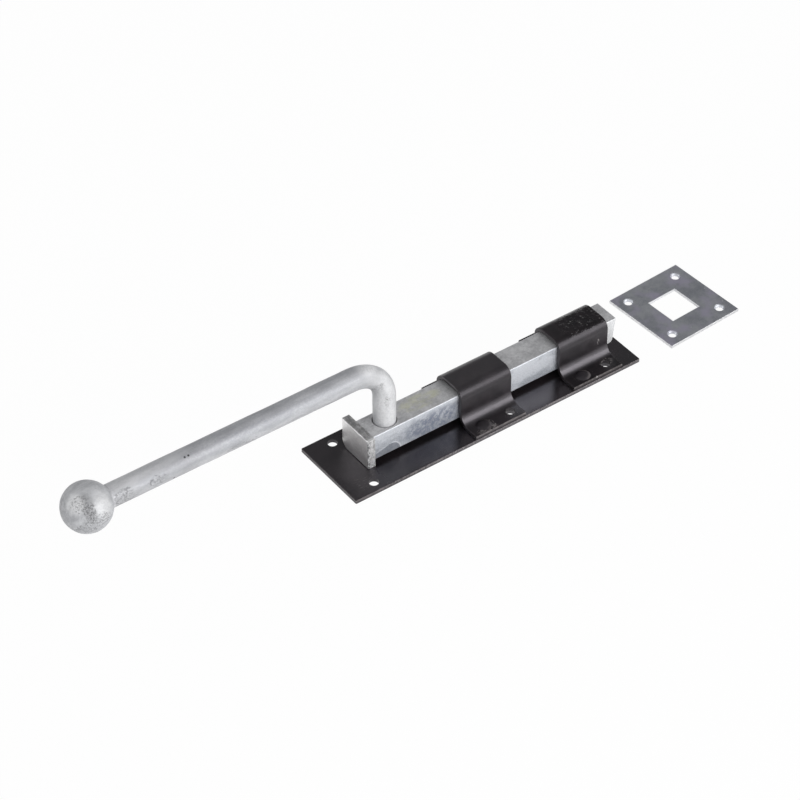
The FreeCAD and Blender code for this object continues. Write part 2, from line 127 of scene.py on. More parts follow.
def put(tree, kind, inputs=(), **settings):
    """Adds a shader node.  inputs maps a socket's name or number to a value or another socket."""
    node = tree.nodes.new("ShaderNode" + kind)
    for name, value in settings.items():
        setattr(node, name, value)
    for key, value in dict(inputs).items():
        if isinstance(value, bpy.types.NodeSocket):
            tree.links.new(value, node.inputs[key])
        else:
            node.inputs[key].default_value = value
    return node


def calc(tree, operation, first, second=0.0, third=0.0):
    """The result of one sum on numbers or sockets."""
    return put(tree, "Math", {0: first, 1: second, 2: third}, operation=operation).outputs[0]


def start_material(name):
    """An empty node material and its output node."""
    material = bpy.data.materials.new(name)
    material.use_nodes = True
    tree = material.node_tree
    tree.nodes.clear()
    return material, tree, tree.nodes.new("ShaderNodeOutputMaterial")


def add_surface(name, points, faces):
    """A smooth shaded mesh object at the origin from an array of points and a list of faces."""
    mesh = bpy.data.meshes.new(name)
    mesh.from_pydata(points.reshape(-1, 3).tolist(), [], faces)
    mesh.polygons.foreach_set("use_smooth", [True] * len(mesh.polygons))
    mesh.update()
    piece = bpy.data.objects.new(name, mesh)
    bpy.context.scene.collection.objects.link(piece)
    return piece


def grid_faces(rows, columns):
    """Quads between neighbouring rows of points, each row closed on itself."""
    row = np.arange(rows - 1)[:, None] * columns
    column = np.arange(columns)[None, :]
    beside = (column + 1) % columns
    quads = np.stack([row + column, row + beside, row + beside + columns, row + column + columns], axis=-1)
    return quads.reshape(-1, 4)


def table_white():
    """A dull white that camera rays and mirrored rays see as evenly lit."""
    material, tree, output = start_material("white_table")
    white = put(tree, "BsdfDiffuse", {"Color": TABLE_WHITE})
    glow = put(tree, "Emission", {"Color": TABLE_GLOW, "Strength": 1.0})
    path = put(tree, "LightPath")
    mirrored = calc(tree, "MAXIMUM", path.outputs["Is Glossy Ray"], path.outputs["Is Transmission Ray"])
    seen = calc(tree, "MAXIMUM", path.outputs["Is Camera Ray"], mirrored)
    share = calc(tree, "MULTIPLY", seen, TABLE_SEEN_SHARE)
    mixed = put(tree, "MixShader", {0: share, 1: white.outputs[0], 2: glow.outputs[0]})
    tree.links.new(mixed.outputs[0], output.inputs["Surface"])
    return material


def add_table():
    """A disc whose rim sweeps up: radius and height follow a straight run and a quarter circle."""
    turn = np.linspace(0, math.pi / 2, TABLE_SWEEP_RINGS)
    flat = np.linspace(TABLE_HUB_RADIUS, TABLE_FLAT_RADIUS, TABLE_FLAT_RINGS)
    radius = np.concatenate([flat, TABLE_FLAT_RADIUS + TABLE_SWEEP_RADIUS * np.sin(turn)])
    height = np.concatenate([np.zeros_like(flat), TABLE_SWEEP_RADIUS * (1 - np.cos(turn))]) - TABLE_DROP
    around = np.linspace(0, 2 * math.pi, TABLE_AROUND, endpoint=False)
    x = radius[:, None] * np.cos(around)
    y = radius[:, None] * np.sin(around)
    z = np.broadcast_to(height[:, None], x.shape)
    faces = grid_faces(len(radius), TABLE_AROUND).tolist()
    faces.append(list(range(TABLE_AROUND)))
    table = add_surface("table", np.stack([x, y, z], axis=-1), faces)
    table.data.materials.append(table_white())


def add_lamp(name, place, size, power):
    """A rectangular soft lamp that looks at the bolt."""
    data = bpy.data.lights.new(name, "AREA")
    data.shape = "RECTANGLE"
    data.size, data.size_y = size
    data.energy = power
    lamp = bpy.data.objects.new(name, data)
    bpy.context.scene.collection.objects.link(lamp)
    lamp.location = place
    lamp.rotation_euler = Vector(place).to_track_quat("Z", "Y").to_euler()


def add_room():
    """An even grey room, darker where its direction leans towards the dark side."""
    room = bpy.data.worlds.new("room")
    room.use_nodes = True
    tree = room.node_tree
    direction = put(tree, "TexCoord").outputs["Generated"]
    facing = put(tree, "VectorMath", {0: direction, 1: DARK_SIDE}, operation="DOT_PRODUCT").outputs["Value"]
    inputs = {"Value": facing, "From Min": DARK_EDGE, "From Max": DARK_CORE}
    inputs["To Min"] = ROOM_STRENGTH
    inputs["To Max"] = DARK_STRENGTH
    strength = put(tree, "MapRange", inputs, interpolation_type="SMOOTHSTEP", clamp=True).outputs["Result"]
    tree.nodes["Background"].inputs["Color"].default_value = ROOM_GREY
    tree.links.new(strength, tree.nodes["Background"].inputs["Strength"])
    bpy.context.scene.world = room


add_table()
add_lamp("key_lamp", KEY_PLACE, KEY_SIZE, KEY_POWER)
add_lamp("front_lamp", FRONT_PLACE, FRONT_SIZE, FRONT_POWER)
add_lamp("rear_lamp", REAR_PLACE, REAR_SIZE, REAR_POWER)
add_room()
bpy.context.scene.view_settings.view_transform = "Standard"


# Backplate
# A flat steel plate in thin semi-gloss black paint, worn grey and lit by a painted highlight
# along its edges, rubbed and duller at its rear end.  The straps and springs are riveted to it.
PLATE_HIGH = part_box("backplate")[1]
PAINT_BLACK = (0.0036, 0.0031, 0.0035, 1)
PAINT_BROWN = (0.0110, 0.0086, 0.0096, 1)
# Grey of worn paint, dust and rubs, also used for painted highlights on edges, rivet rims and blister
# creases.
PAINT_WEAR_AND_HIGHLIGHT = (0.118, 0.105, 0.103, 1)
PAINT_SHEEN_TINT = (1.0, 0.95, 1.03, 1)
PLATE_PAINT_IOR = 1.61
END_RIM_SHARE = 0.7
RUB_CENTRE = (-98 * MM, -19 * MM, PLATE_HIGH.z)
RUB_REACH = (9 * MM, 8 * MM, 2 * MM)
DULL_REAR = (-84 * MM, -96 * MM)
GLOSS_RISE = (-72 * MM, -28 * MM)
GLOSS_FALL = (78 * MM, 86 * MM)


def times(tree, *shares):
    """The product of two or more shares."""
    product = shares[0]
    for share in shares[1:]:
        product = calc(tree, "MULTIPLY", product, share)
    return product


def sloped(tree, value, slope, start):
    """A value times a slope, added to a start."""
    return calc(tree, "MULTIPLY_ADD", value, slope, start)


def without(tree, share):
    """What is left of one after a share is taken away."""
    return calc(tree, "SUBTRACT", 1.0, share)


def band(tree, value, start, stop):
    """Zero before start, one past stop, and a smooth rise between; start may be above stop."""
    inputs = {"Value": value, "From Min": start, "From Max": stop}
    return put(tree, "MapRange", inputs, interpolation_type="SMOOTHSTEP", clamp=True).outputs["Result"]


def own_place(tree):
    """A point's place on its own piece, and the same place as x, y and z."""
    where = put(tree, "TexCoord").outputs["Object"]
    return where, tuple(put(tree, "SeparateXYZ", {0: where}).outputs)


def noise(tree, where, size, detail=2.0, rough=0.5, stretch=(1, 1, 1), shift=(0, 0, 0)):
    """Cloudy noise from 0 to 1 whose blots are about size across, stretched along each axis."""
    scale = [1 / (size * s) for s in stretch]
    place = put(tree, "Mapping", {"Vector": where, "Scale": scale, "Location": shift})
    inputs = {"Vector": place.outputs[0], "Scale": 1.0, "Detail": detail, "Roughness": rough}
    return put(tree, "TexNoise", inputs).outputs["Fac"]


def specks(tree, where, spacing, size, share, shift=(0, 0, 0)):
    """Sparse round specks: one in about every spacing, of which only a share shows."""
    scale = [1 / spacing] * 3
    place = put(tree, "Mapping", {"Vector": where, "Scale": scale, "Location": shift})
    cell = put(tree, "TexVoronoi", {"Vector": place.outputs[0], "Scale": 1.0})
    chance = put(tree, "SeparateColor", {0: cell.outputs["Color"]}).outputs[0]
    disc = band(tree, cell.outputs["Distance"], size / spacing, 0.5 * size / spacing)
    return times(tree, disc, calc(tree, "LESS_THAN", chance, share))


def two_colours(tree, share, first, second):
    """A colour that goes from the first to the second as share goes from 0 to 1."""
    return put(tree, "Mix", {0: share, 6: first, 7: second}, data_type="RGBA").outputs[2]


def bump(tree, height, depth, under=None):
    """Surface relief of a depth in metres, laid over another relief if one is given."""
    inputs = {"Height": height, "Distance": depth, "Strength": 1.0}
    if under is not None:
        inputs["Normal"] = under
    return put(tree, "Bump", inputs).outputs["Normal"]


def oval(tree, place, centre, reach, outer=1.3, inner=0.6):
    """One inside an ellipsoid and zero outside it; the rim fades between two squared radii."""
    total = 0.0
    for coordinate, middle, half in zip(place, centre, reach):
        offset = calc(tree, "SUBTRACT", coordinate, middle)
        offset = calc(tree, "DIVIDE", offset, half)
        total = calc(tree, "ADD", total, times(tree, offset, offset))
    return band(tree, total, outer, inner)


def finish_paint(tree, output, colour, roughness, relief, gloss, sheen=0.5):
    """Ends a paint material: a dark body under its own gloss, set by a refractive index and a share."""
    inputs = {"Base Color": colour, "Roughness": roughness, "Normal": relief, "Specular IOR Level": sheen}
    shader = put(tree, "BsdfPrincipled", inputs)
    shader.inputs["Metallic"].default_value = 0.0
    shader.inputs["IOR"].default_value = gloss
    shader.inputs["Specular Tint"].default_value = PAINT_SHEEN_TINT
    tree.links.new(shader.outputs[0], output.inputs["Surface"])


def plate_paint():
    """Black paint with browner clouds, dust, a worn rim under a painted highlight and one rubbed patch,
    glossier between its ends.
    """
    material, tree, output = start_material("backplate_paint")
    where, place = own_place(tree)
    x, y, z = place
    # The rim is worn paint and a painted highlight: upper makes it paler towards the plate's top corner.
    side_rim = band(tree, calc(tree, "ABSOLUTE", y), PLATE_HIGH.y - 0.55 * MM, PLATE_HIGH.y - 0.2 * MM)
    end_rim = band(tree, calc(tree, "ABSOLUTE", x), PLATE_HIGH.x - 0.5 * MM, PLATE_HIGH.x - 0.2 * MM)
    rim = calc(tree, "MAXIMUM", times(tree, end_rim, END_RIM_SHARE), side_rim)
    upper = band(tree, z, PLATE_HIGH.z - 1.9 * MM, PLATE_HIGH.z - 0.7 * MM)
    patchy = band(tree, noise(tree, where, 1.7 * MM, 3.0, 0.65), 0.36, 0.64)
    wear_and_highlight = times(tree, rim, sloped(tree, upper, 0.75, 0.2), sloped(tree, patchy, 0.75, 0.25))
    cloud = band(tree, noise(tree, where, 30 * MM, 3.0), 0.3, 0.7)
    colour = two_colours(tree, cloud, PAINT_BLACK, PAINT_BROWN)
    fine = band(tree, noise(tree, where, 1.1 * MM, 2.0, 0.6, shift=(4, 4, 4)), 0.50, 0.75)
    colour = two_colours(tree, times(tree, fine, 0.06), colour, PAINT_WEAR_AND_HIGHLIGHT)
    colour = two_colours(tree, wear_and_highlight, colour, PAINT_WEAR_AND_HIGHLIGHT)
    dust = specks(tree, where, 8 * MM, 0.40 * MM, 0.5)
    colour = two_colours(tree, times(tree, dust, 0.5), colour, PAINT_WEAR_AND_HIGHLIGHT)
    hairs = band(tree, noise(tree, where, 0.7 * MM, 3.0, 0.7, stretch=(5, 1, 1)), 0.56, 0.70)
    rubs = times(tree, oval(tree, place, RUB_CENTRE, RUB_REACH), hairs)
    colour = two_colours(tree, times(tree, rubs, 0.45), colour, PAINT_WEAR_AND_HIGHLIGHT)
    rough = sloped(tree, band(tree, noise(tree, where, 11 * MM, 4.0), 0.3, 0.7), 0.08, 0.19)
    rough = sloped(tree, band(tree, x, *DULL_REAR), 0.16, rough)
    rough = calc(tree, "MAXIMUM", rough, times(tree, wear_and_highlight, 0.55))
    relief = bump(tree, noise(tree, where, 1.5 * MM, 2.0), 0.008 * MM)
    relief = bump(tree, noise(tree, where, 0.35 * MM, 1.0), 0.003 * MM, relief)
    relief = bump(tree, without(tree, rubs), 0.03 * MM, relief)
    sheen = sloped(tree, band(tree, x, *GLOSS_RISE), 0.34, 0.43)
    sheen = sloped(tree, band(tree, x, *GLOSS_FALL), -0.22, sheen)
    finish_paint(tree, output, colour, rough, relief, PLATE_PAINT_IOR, sheen)
    return material


def dress(node, material):
    """Gives a solid from the frame its material."""
    piece = nodes[node]
    piece.data.materials.clear()
    piece.data.materials.append(material)


dress("backplate", plate_paint())


# Guide straps and their rivets
# Strip steel pressed to a hat section and dipped in the same black, riveted
# through the flanges with low domed heads that were painted with the straps.
# Bare steel in scratches and chips, and the colour of the painted glints on the front strap's blisters.
BARE_STEEL_AND_GLINT = (0.62, 0.61, 0.60, 1)
STRAP_PAINT_IOR = 1.68
FLANGE_TOP = 5.0 * MM
WALL_SHEEN = 0.5
REAR_SHEENS = (0.58, 0.32, 0.60, 0.42)
FRONT_SHEENS = (0.22, 0.36, 0.68, 0.20)
REAR_MARKS = (
    ((-9.0, -27.4, 5.0), (7.5, 2.2, 1.5), 1.3, 0.18, 0.05),
    ((-4.0, -25.0, 5.0), (2.0, 4.2, 1.5), 1.5, 0.20, 0.10),
    ((-14.5, -27.0, 5.0), (3.0, 2.0, 1.5), 0.8, 0.15, 0.0),
    ((12.0, -24.0, 5.0), (6.0, 4.0, 1.5), 0.9, 0.04, 0.0),
)
FRONT_MARKS = (
    ((91.6, -13.4, 17.2), (0.9, 1.5, 2.4), 1.2, 0.20, 0.12),
    ((92.1, -21.6, 5.0), (5.0, 3.6, 1.5), 0.9, 0.12, 0.05),
    ((78.4, -29.1, 4.7), (0.6, 0.6, 0.6), 2.0, 0.50, 0.6),
    ((72.0, -23.0, 5.0), (8.0, 4.5, 1.5), 0.9, 0.02, 0.0),
)
RIVET_HEAD_RADIUS = 4.6 * MM
RING_SOFTNESS = 0.35 * MM
# Shares of the painted highlight, a pale crescent on the front of each rivet head's rim.
REAR_RIM_HIGHLIGHT = 0.3
FRONT_RIM_HIGHLIGHT = 0.55


def in_metres(values):
    """A list in millimetres turned into metres."""
    return [value * MM for value in values]


def strap_sheen(tree, z, top, sheens):
    """The walls' gloss, changed by height to that of the crown, shoulders, lower bends and flanges."""
    crown = band(tree, z, top - 1.6 * MM, top - 0.4 * MM)
    shoulder = calc(tree, "SUBTRACT", band(tree, z, top - 13 * MM, top - 3 * MM), crown)
    foot = band(tree, z, FLANGE_TOP + 1.2 * MM, FLANGE_TOP + 0.2 * MM)
    flare = calc(tree, "SUBTRACT", band(tree, z, FLANGE_TOP + 8 * MM, FLANGE_TOP + 4 * MM), foot)
    sheen = WALL_SHEEN
    for zone, gloss in zip((crown, shoulder, flare, foot), sheens):
        sheen = sloped(tree, zone, gloss - WALL_SHEEN, sheen)
    return sheen


def blistered(tree, where, place, middle, top, colour, rough, relief):
    """Lumps, creases and pale flecks in glossier paint on the crown, ahead of a ragged line; the pale
    creases and flecks are painted glints.
    """
    x, _, z = place
    ragged = sloped(tree, noise(tree, where, 7 * MM, 2.0), 14 * MM, middle - 20 * MM)
    crown = band(tree, z, top - 2.6 * MM, top - 0.8 * MM)
    area = times(tree, crown, band(tree, calc(tree, "SUBTRACT", x, ragged), 0.0, 7 * MM))
    lumps = band(tree, noise(tree, where, 3.0 * MM, 3.0, 0.55), 0.42, 0.70)
    relief = bump(tree, times(tree, area, lumps), 0.14 * MM, relief)
    creases = noise(tree, where, 1.6 * MM, 2.0, 0.6, stretch=(1.6, 1, 1), shift=(3, 1, 7))
    creases = band(tree, calc(tree, "ABSOLUTE", calc(tree, "SUBTRACT", creases, 0.52)), 0.03, 0.0)
    sparse = band(tree, noise(tree, where, 4.5 * MM, 2.0, 0.5, shift=(2, 8, 5)), 0.56, 0.72)
    creases = times(tree, creases, area, sparse)
    relief = bump(tree, creases, 0.08 * MM, relief)
    # Painted highlight: pale creases stand for glints on the ridges.
    colour = two_colours(tree, times(tree, creases, 0.4), colour, PAINT_WEAR_AND_HIGHLIGHT)
    # Painted glints: pale flecks on the blisters.
    flecks = specks(tree, where, 2.2 * MM, 0.80 * MM, 0.30, shift=(6, 2, 4))
    flecks = times(tree, flecks, sloped(tree, sparse, 0.65, 0.10), area)
    colour = two_colours(tree, flecks, colour, BARE_STEEL_AND_GLINT)
    rough = calc(tree, "SUBTRACT", rough, times(tree, area, 0.16))
    return colour, rough, relief


def strap_paint(name, strap, marks, has_blisters, sheens):
    """Black paint, worn thin on the strip's cut edges, where a painted highlight also lightens them, and
    through in the marks.

    A mark is an oval's centre and reach in mm, the size of its flecks, how many show and how bare they are.
    Blisters cover the front two thirds of the crown.
    sheens are the gloss of the crown, the shoulders, the lower bends and the flanges.
    """
    low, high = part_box(strap)
    middle = (low.x + high.x) / 2
    half_strip = (high.x - low.x) / 2
    material, tree, output = start_material(name)
    where, place = own_place(tree)
    x, y, z = place
    along = calc(tree, "ABSOLUTE", calc(tree, "SUBTRACT", x, middle))
    # The cut edges are worn paint and a painted highlight: upper makes the flanges' rim paler towards their
    # top corner.
    end_rim = band(tree, along, half_strip - 0.5 * MM, half_strip - 0.1 * MM)
    flange_rim = band(tree, calc(tree, "ABSOLUTE", y), high.y - 0.45 * MM, high.y - 0.15 * MM)
    upper = band(tree, z, FLANGE_TOP - 1.5 * MM, FLANGE_TOP - 0.7 * MM)
    flange_rim = times(tree, flange_rim, sloped(tree, upper, 0.8, 0.2))
    rim = calc(tree, "MAXIMUM", times(tree, end_rim, 0.12), flange_rim)
    patchy = band(tree, noise(tree, where, 1.5 * MM, 3.0, 0.65), 0.36, 0.62)
    wear_and_highlight = times(tree, rim, sloped(tree, patchy, 0.70, 0.30))
    cloud = band(tree, noise(tree, where, 9 * MM, 4.0, 0.55), 0.3, 0.7)
    colour = two_colours(tree, cloud, PAINT_BLACK, PAINT_BROWN)
    colour = two_colours(tree, wear_and_highlight, colour, PAINT_WEAR_AND_HIGHLIGHT)
    rough = sloped(tree, band(tree, noise(tree, where, 6 * MM, 4.0), 0.3, 0.7), 0.10, 0.28)
    relief = bump(tree, noise(tree, where, 1.2 * MM, 3.0, 0.6), 0.035 * MM)
    relief = bump(tree, noise(tree, where, 0.35 * MM, 1.0), 0.006 * MM, relief)
    for centre, reach, fleck, share, bare in marks:
        flecks = noise(tree, where, fleck * MM, 2.0, 0.6, shift=(1, 6, 2))
        flecks = band(tree, flecks, 0.66 - share, 0.74 - share)
        flecks = times(tree, flecks, oval(tree, place, in_metres(centre), in_metres(reach)))
        steel = [dull + (bright - dull) * bare for dull, bright in zip(PAINT_WEAR_AND_HIGHLIGHT, BARE_STEEL_AND_GLINT)]
        colour = two_colours(tree, flecks, colour, steel)
        relief = bump(tree, flecks, 0.12 * MM, relief)
    if has_blisters:
        colour, rough, relief = blistered(tree, where, place, middle, high.z, colour, rough, relief)
    sheen = strap_sheen(tree, z, high.z, sheens)
    finish_paint(tree, output, colour, rough, relief, STRAP_PAINT_IOR, sheen)
    return material


def length(tree, first, second):
    """The root of the sum of two squares."""
    return calc(tree, "SQRT", calc(tree, "ADD", times(tree, first, first), times(tree, second, second)))


def ring(tree, place, centre_x, centre_y, inner, outer):
    """One between two radii about an upright axis, and zero elsewhere, with soft rims."""
    from_x = calc(tree, "SUBTRACT", place[0], centre_x)
    from_y = calc(tree, "SUBTRACT", place[1], centre_y)
    distance = length(tree, from_x, from_y)
    past_inner = band(tree, distance, inner - RING_SOFTNESS, inner + RING_SOFTNESS)
    short_of_outer = band(tree, distance, outer + RING_SOFTNESS, outer - RING_SOFTNESS)
    return times(tree, past_inner, short_of_outer)


def rivet_paint(rivet, rim_highlight):
    """The head's paint, with a painted highlight of a given share: a pale crescent on the front of its rim.
    """
    low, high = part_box(rivet)
    centre_x = (low.x + high.x) / 2
    centre_y = (low.y + high.y) / 2
    material, tree, output = start_material(rivet + "_paint")
    where, place = own_place(tree)
    cloud = noise(tree, where, 3 * MM, 3.0)
    colour = two_colours(tree, cloud, PAINT_BROWN, PAINT_BLACK)
    # Painted highlight: a pale crescent on the front of the head's rim.
    rim = ring(tree, place, centre_x, centre_y, RIVET_HEAD_RADIUS - 1.1 * MM, RIVET_HEAD_RADIUS + 1.0 * MM)
    ahead = band(tree, place[0], centre_x - 1.5 * MM, centre_x + 2.5 * MM)
    colour = two_colours(tree, times(tree, rim, ahead, rim_highlight), colour, PAINT_WEAR_AND_HIGHLIGHT)
    rough = sloped(tree, cloud, 0.15, 0.28)
    relief = bump(tree, noise(tree, where, 1.1 * MM, 3.0, 0.6), 0.05 * MM)
    finish_paint(tree, output, colour, rough, relief, STRAP_PAINT_IOR)
    return material


rear_paint = strap_paint("rear_strap_paint", "rear_guide_strap", REAR_MARKS, False, REAR_SHEENS)
front_paint = strap_paint("front_strap_paint", "front_guide_strap", FRONT_MARKS, True, FRONT_SHEENS)
for strap, paint, rim_highlight in (("rear", rear_paint, REAR_RIM_HIGHLIGHT), ("front", front_paint, FRONT_RIM_HIGHLIGHT)):
    dress(strap + "_guide_strap", paint)
    for side in ("left", "right"):
        rivet = strap + "_strap_rivet_" + side
        dress(rivet, rivet_paint(rivet, rim_highlight))


# Friction springs
# Bowed leaves of oiled spring steel under the bar, each riveted down at its rear
# end.  They are hidden inside the straps, and their rivets wear the straps' paint.
SPRING_DARK = (0.16, 0.165, 0.18, 1)
SPRING_LIGHT = (0.30, 0.30, 0.31, 1)


def finish_metal(tree, output, colour, roughness, relief, metallic):
    """Ends a metal material; below 1, metallic lets part of the surface scatter light."""
    inputs = {"Base Color": colour, "Roughness": roughness, "Normal": relief, "Metallic": metallic}
    shader = put(tree, "BsdfPrincipled", inputs)
    tree.links.new(shader.outputs[0], output.inputs["Surface"])


def spring_steel():
    """Dark, oiled rolled steel with lengthwise grain."""
    material, tree, output = start_material("spring_steel")
    where = put(tree, "TexCoord").outputs["Object"]
    grain = noise(tree, where, 0.4 * MM, 3.0, 0.6, stretch=(18, 1, 1))
    colour = two_colours(tree, grain, SPRING_DARK, SPRING_LIGHT)
    rough = sloped(tree, grain, 0.2, 0.25)
    relief = bump(tree, grain, 0.005 * MM)
    finish_metal(tree, output, colour, rough, relief, 1.0)
    return material


leaf_steel = spring_steel()
for strap, paint in (("rear", rear_paint), ("front", front_paint)):
    dress(strap + "_friction_spring", leaf_steel)
    dress(strap + "_spring_rivet", paint)


# Bolt bar
# Rolled square bar with dull zinc plating: cloudy, bluish and frosted on its sides,
# with dark streaks behind the neck, stained near the rear strap, pale at its nose.
BAR_LOW, BAR_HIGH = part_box("bolt_bar")
BAR_METAL = 0.55
BAR_TOP_DARK = (0.40, 0.40, 0.41, 1)
BAR_TOP_LIGHT = (0.63, 0.63, 0.64, 1)
BAR_SIDE_DARK = (0.31, 0.33, 0.37, 1)
BAR_SIDE_LIGHT = (0.58, 0.60, 0.64, 1)
BAR_MOTTLE = (0.86, 0.88, 0.91, 1)
FROST_CENTRE = (-38 * MM, BAR_LOW.y, 14 * MM)
FROST_REACH = (24 * MM, 4 * MM, 9 * MM)
FROST_CRACK = (0.20, 0.23, 0.30, 1)
FROST_BLOT = (0.20, 0.225, 0.29, 1)
STAIN_CENTRE = (-42 * MM, 1 * MM, BAR_HIGH.z)
STAIN_REACH = (16 * MM, 6.5 * MM, 4 * MM)
STAIN_YELLOW = (0.56, 0.565, 0.37, 1)
DARK_STREAK_REAR = (-60 * MM, -76 * MM)
DARK_STREAK_GREY = (0.12, 0.12, 0.125, 1)
STREAK_CENTRE = (-55 * MM, 2 * MM, BAR_HIGH.z)
STREAK_REACH = (17 * MM, 9 * MM, 4 * MM)
STREAK_PALE = (0.66, 0.65, 0.58, 1)
NOSE_START = (BAR_HIGH.x - 11 * MM, BAR_HIGH.x - 8 * MM)
NOSE_PALE = (0.78, 0.78, 0.775, 1)
PATCH_CENTRE_X = -72.4 * MM
PATCH_RIM_RADIUS = 7.25 * MM
PATCH_RIM_HIGHLIGHT = (0.9, 0.91, 0.94, 1)


def zinc_layers(tree, where, dark, light, cloud_size, grain_stretch=(1, 1, 1), rough_least=0.42):
    """Colour, roughness and relief of plated steel: clouds, spangles and fine grain."""
    cloud = noise(tree, where, cloud_size, 4.0, 0.60)
    spangle = noise(tree, where, cloud_size * 0.24, 4.0, 0.65, shift=(5, 2, 9))
    grain = noise(tree, where, 0.7 * MM, 3.0, 0.7, stretch=grain_stretch)
    tone = sloped(tree, cloud, 0.45, times(tree, spangle, 0.33))
    tone = calc(tree, "ADD", tone, times(tree, grain, 0.22))
    colour = two_colours(tree, band(tree, tone, 0.36, 0.64), dark, light)
    rough = sloped(tree, spangle, 0.22, rough_least)
    relief = bump(tree, spangle, 0.05 * MM)
    relief = bump(tree, grain, 0.02 * MM, relief)
    return colour, rough, relief


def bar_side(tree, where, z, frosted):
    """Bluish zinc, milkier towards the top, with pale mottling, and dark cracks and blots where frosted."""
    milky = noise(tree, where, 12 * MM, 5.0, 0.65, stretch=(1.8, 1, 1), shift=(7, 0, 3))
    height = band(tree, z, BAR_LOW.z, BAR_HIGH.z)
    milky = band(tree, sloped(tree, height, 0.22, calc(tree, "SUBTRACT", milky, 0.11)), 0.34, 0.60)
    colour = two_colours(tree, milky, BAR_SIDE_DARK, BAR_SIDE_LIGHT)
    mottle = band(tree, noise(tree, where, 0.9 * MM, 5.0, 0.75, shift=(2, 5, 1)), 0.38, 0.62)
    colour = two_colours(tree, times(tree, mottle, 0.32), colour, BAR_MOTTLE)
    cracks = band(tree, noise(tree, where, 1.6 * MM, 4.0, 0.75, shift=(1, 1, 6)), 0.54, 0.68)
    cracks = times(tree, cracks, sloped(tree, frosted, 0.70, 0.16))
    colour = two_colours(tree, cracks, colour, FROST_CRACK)
    blots = band(tree, noise(tree, where, 3.4 * MM, 5.0, 0.70, shift=(3, 7, 7)), 0.38, 0.60)
    blots = times(tree, sloped(tree, blots, 0.68, 0.22), frosted)
    return two_colours(tree, blots, colour, FROST_BLOT), mottle, cracks


def patch_ridge(tree, place):
    """A ring on the bar's near side round the weld that runs out there, and its front half alone, which
    takes a painted highlight.
    """
    x, y, z = place
    from_x = calc(tree, "SUBTRACT", x, PATCH_CENTRE_X)
    from_z = calc(tree, "SUBTRACT", z, BAR_LOW.z)
    off_rim = calc(tree, "SUBTRACT", length(tree, from_x, from_z), PATCH_RIM_RADIUS)
    near_side = band(tree, y, BAR_LOW.y + 0.5 * MM, BAR_LOW.y + 0.1 * MM)
    ridge = times(tree, band(tree, calc(tree, "ABSOLUTE", off_rim), 1.1 * MM, 0.1 * MM), near_side)
    return ridge, times(tree, ridge, band(tree, from_x, -1.5 * MM, 3.0 * MM))


def bar_zinc():
    """Plated bar: bluish mottled sides, and a plain top with dark and pale streaks and a yellowish stain.
    """
    material, tree, output = start_material("bar_zinc")
    where, place = own_place(tree)
    x, y, z = place
    top_colour, rough, relief = zinc_layers(tree, where, BAR_TOP_DARK, BAR_TOP_LIGHT, 9 * MM, (2.5, 1, 1))
    frosted = oval(tree, place, FROST_CENTRE, FROST_REACH, 1.8, 0.2)
    side_colour, mottle, cracks = bar_side(tree, where, z, frosted)
    sideways = band(tree, calc(tree, "ABSOLUTE", y), BAR_HIGH.y - 0.5 * MM, BAR_HIGH.y - 0.1 * MM)
    colour = two_colours(tree, sideways, top_colour, side_colour)
    smear = band(tree, noise(tree, where, 5 * MM, 4.0, 0.6, stretch=(2, 1, 1)), 0.30, 0.66)
    stain = times(tree, oval(tree, place, STAIN_CENTRE, STAIN_REACH), smear, 0.55)
    colour = two_colours(tree, stain, colour, STAIN_YELLOW)
    # Dark lengthwise streaks on the top, more of them behind the neck.
    dark_streaks = noise(tree, where, 0.7 * MM, 3.0, 0.6, stretch=(14, 1, 1), shift=(0, 4, 0))
    dark_streak_share = sloped(tree, band(tree, x, *DARK_STREAK_REAR), 0.50, 0.12)
    dark_streaks = times(tree, band(tree, dark_streaks, 0.58, 0.70), dark_streak_share, without(tree, sideways))
    colour = two_colours(tree, dark_streaks, colour, DARK_STREAK_GREY)
    streaks = noise(tree, where, 4 * MM, 3.0, 0.6, stretch=(1, 2.6, 1), shift=(9, 3, 3))
    streaked = oval(tree, place, STREAK_CENTRE, STREAK_REACH)
    streaks = times(tree, band(tree, streaks, 0.58, 0.72), streaked, 0.5)
    colour = two_colours(tree, streaks, colour, STREAK_PALE)
    nose = times(tree, band(tree, x, *NOSE_START), sideways, sloped(tree, mottle, 0.35, 0.50))
    colour = two_colours(tree, nose, colour, NOSE_PALE)
    ridge, ridge_highlight = patch_ridge(tree, place)
    # Painted highlight on the front half of the weld's ring.
    colour = two_colours(tree, times(tree, ridge_highlight, 0.38), colour, PATCH_RIM_HIGHLIGHT)
    relief = bump(tree, ridge, 0.15 * MM, relief)
    relief = bump(tree, without(tree, cracks), 0.10 * MM, relief)
    finish_metal(tree, output, colour, rough, relief, BAR_METAL)
    return material


dress("bolt_bar", bar_zinc())


# End plate and its welds
# A thick offcut welded across the bar's rear end.  Its broad face is smooth, its
# near side keeps the rough marks of the cut and its top is scarred.
END_LOW, END_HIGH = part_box("bar_end_plate")
END_METAL = 0.88
END_ROUGH_LEAST = 0.27
END_DARK = (0.75, 0.74, 0.74, 1)
END_LIGHT = (0.97, 0.96, 0.955, 1)
END_FOOT_SHADE = (0.36, 0.355, 0.355, 1)
CUT_DARK = (0.46, 0.46, 0.47, 1)
CUT_LIGHT = (0.95, 0.95, 0.96, 1)
BURR_DARK = (0.14, 0.14, 0.15, 1)
SCAR_DARK = (0.20, 0.20, 0.205, 1)
CORNER_HIGHLIGHT = (0.96, 0.96, 0.96, 1)


